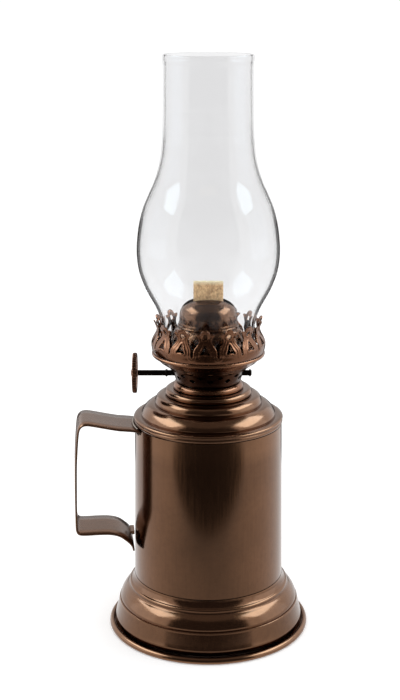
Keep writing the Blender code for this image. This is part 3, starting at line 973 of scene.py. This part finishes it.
def reflected_only(m, shader):
    """Lets a card show in polished surfaces only, never straight to the eye."""
    path = m.add("ShaderNodeLightPath")
    clear = m.add("ShaderNodeBsdfTransparent")
    pick = m.add("ShaderNodeMixShader")
    m.link(m.maths("GREATER_THAN", path.outputs["Glossy Depth"], 0.5), pick.inputs[0])
    m.link(clear.outputs[0], pick.inputs[1])
    m.link(shader, pick.inputs[2])
    m.link(pick.outputs[0], m.tree.nodes["Material Output"].inputs["Surface"])


def card_material(name, tone):
    """An even glow for a card; tone is a colour or a colour socket."""
    m = Nodes(name)
    m.tree.nodes.remove(m.shader)
    glow = m.add("ShaderNodeEmission")
    m.feed(tone(m) if callable(tone) else tone, glow.inputs["Color"])
    reflected_only(m, glow.outputs[0])
    return m.mat


def stage_card(name, corners, faces, mat):
    """A studio card that lights and shades nothing, and shows only in reflections."""
    mesh = bpy.data.meshes.new(name)
    mesh.from_pydata([Vector(c) for c in corners], [], faces)
    mesh.materials.append(mat)
    obj = bpy.data.objects.new(name, mesh)
    bpy.context.scene.collection.objects.link(obj)
    obj.visible_camera = False
    obj.visible_diffuse = False
    obj.visible_shadow = False


def screen(name, radius, half_angle, middle, low, high, mat):
    """A standing curved card, made of one strip."""
    steps = 24
    corners = []
    for k in range(steps + 1):
        a = math.radians(middle - half_angle + 2 * half_angle * k / steps)
        for z in (low, high):
            corners.append((radius * math.sin(a), -radius * math.cos(a), z))
    faces = [(2 * k, 2 * k + 2, 2 * k + 3, 2 * k + 1) for k in range(steps)]
    stage_card(name, corners, faces, mat)


def floor_ring(name, near, far, mat, height=0.0004, steps=96):
    """A flat ring, just above the paper or overhead."""
    corners, faces = [], []
    for k in range(steps):
        a = 2 * math.pi * k / steps
        corners += [(r * math.cos(a), r * math.sin(a), height) for r in (near, far)]
        j = (k + 1) % steps
        faces.append((2 * k, 2 * k + 1, 2 * j + 1, 2 * j))
    stage_card(name, corners, faces, mat)


def softbox(name, azimuth, elevation, distance, size, power, tone):
    """A large area light aimed at the lamp's middle, azimuth in degrees from -Y."""
    light = bpy.data.lights.new(name, "AREA")
    light.shape = "RECTANGLE"
    light.size, light.size_y = size
    light.energy = power
    light.color = tone
    obj = bpy.data.objects.new(name, light)
    bpy.context.scene.collection.objects.link(obj)
    a, e = math.radians(azimuth), math.radians(elevation)
    away = Vector((math.sin(a) * math.cos(e), -math.cos(a) * math.cos(e), math.sin(e)))
    target = Vector((0.0, 0.0, 0.12))
    obj.location = target + away * distance
    obj.rotation_euler = away.to_track_quat("Z", "Y").to_euler()
    obj.visible_camera = False
    obj.visible_diffuse = False


def distance_out(m):
    """Distance from the lamp's axis, for a material on the floor."""
    length = m.add("ShaderNodeVectorMath", operation="LENGTH")
    m.link(m.place(), length.inputs[0])
    return length.outputs["Value"]


def make_floor():
    """A wide sheet of white paper under the lamp, with a painted glow that lifts the shade near the
    lamp and fades out by 1.4 m.
    """
    far = 60.0
    mesh = bpy.data.meshes.new("studio_floor")
    mesh.from_pydata([(-far, -far, 0), (far, -far, 0), (far, far, 0), (-far, far, 0)],
                     [], [(0, 1, 2, 3)])
    floor = bpy.data.objects.new("studio_floor", mesh)
    bpy.context.scene.collection.objects.link(floor)
    floor.location.z = -0.0002
    paper = Nodes("studio_paper")
    paper.set(Base_Color=(0.93, 0.93, 0.93, 1.0), Roughness=0.9, Specular_IOR_Level=0.0)
    # Painted light: the paper glows white near the lamp and fades to nothing 1.4 m out, washing out
    # the shade around the foot.
    glow = step(paper, distance_out(paper), 0.25, 1.4, 0.22, 0.0)
    paper.set(Emission_Color=(1.0, 1.0, 1.0, 1.0))
    paper.to(glow, "Emission Strength")
    mesh.materials.append(paper.mat)


def step(m, value, start, end, low=0.0, high=1.0):
    """Smooth change from low to high while value goes from start to end."""
    node = m.add("ShaderNodeMapRange", interpolation_type="SMOOTHSTEP")
    m.link(value, node.inputs["Value"])
    for key, number in (("From Min", start), ("From Max", end), ("To Min", low), ("To Max", high)):
        node.inputs[key].default_value = number
    return node.outputs["Result"]


def mirrored_paper(m):
    """What polished metal sees of the floor: paler at the sides, dark past its front edge."""
    split = m.add("ShaderNodeSeparateXYZ")
    m.link(m.place(), split.inputs[0])
    x, y = m.maths("ABSOLUTE", split.outputs[0]), split.outputs[1]
    angle = m.maths("ARCTAN2", x, m.maths("MULTIPLY", y, -1.0))
    paper = step(m, angle, 0.0, math.radians(115.0), 0.42, 1.0)
    near_middle = step(m, x, 0.25, 0.29, 1.0, 0.0)
    before_edge = step(m, y, -0.20, -0.175, 1.0, 0.0)
    front = m.maths("MULTIPLY", near_middle, before_edge)
    back = m.maths("MULTIPLY", step(m, angle, 2.55, 2.75), step(m, y, 0.22, 0.26))
    dark = m.maths("MAXIMUM", front, back)
    white = m.mix(paper, (0.0, 0.0, 0.0), (1.0, 1.0, 1.0))
    return m.mix(dark, white, (0.045, 0.040, 0.040))


def make_studio():
    """White paper and world, with cards and two softboxes for the metal to reflect."""
    make_floor()
    floor_ring("mirror_floor", 0.053, 3.0, card_material("mirror_floor", mirrored_paper))
    room, ceiling = 2.4, 3.2
    dim = card_material("card_dim", (0.07, 0.06, 0.06))
    behind = card_material("card_back", (0.7, 0.7, 0.7))
    above = card_material("card_ceiling", (0.22, 0.20, 0.19))
    side = card_material("card_side", (1.5, 1.6, 1.7))
    screen("front_screen", room, 52.0, 0.0, 0.0, ceiling, dim)
    screen("back_screen", room, 26.0, 180.0, 0.0, ceiling / 2, behind)
    floor_ring("ceiling_card", 0.0, room + 0.1, above, ceiling)
    for place in (-92.0, 92.0):
        screen("side_card", 0.85, 21.0, place, 0.03, 0.52, side)
    cool_white = (0.80, 1.0, 1.12)
    for name, azimuth in (("softbox_left", -96.0), ("softbox_right", 96.0)):
        softbox(name, azimuth, 42.0, 0.95, (0.85, 0.46), 5.2, cool_white)

    world = bpy.data.worlds.new("studio_world")
    bpy.context.scene.world = world
    world.use_nodes = True
    back = world.node_tree.nodes["Background"]
    back.inputs["Color"].default_value = (1.0, 1.0, 1.0, 1.0)
    back.inputs["Strength"].default_value = 1.15
    bpy.context.scene.view_settings.view_transform = "Standard"


def make_camera():
    """Long lens, set a little above the lamp and tilted down."""
    lens, distance, height, tilt = 70.31, 0.674, 0.3246, math.radians(9.11)
    data = bpy.data.cameras.new("camera")
    data.lens = lens
    data.sensor_width = 36.0
    data.shift_x = -0.0119
    data.shift_y = -0.20
    cam = bpy.data.objects.new("camera", data)
    bpy.context.scene.collection.objects.link(cam)
    cam.location = (0.0, -distance, height)
    cam.rotation_euler = (math.pi / 2 - tilt, 0.0, 0.0)
    bpy.context.scene.camera = cam


make_camera()
make_foot()
make_tank()
make_handle()
make_burner_base()
make_gallery_plate()
make_crown()
make_dome()
make_thumb_wheel()
make_shaft()
make_wick()
make_chimney()
finish_cad_nodes()
make_studio()

bpy.context.view_layer.update()
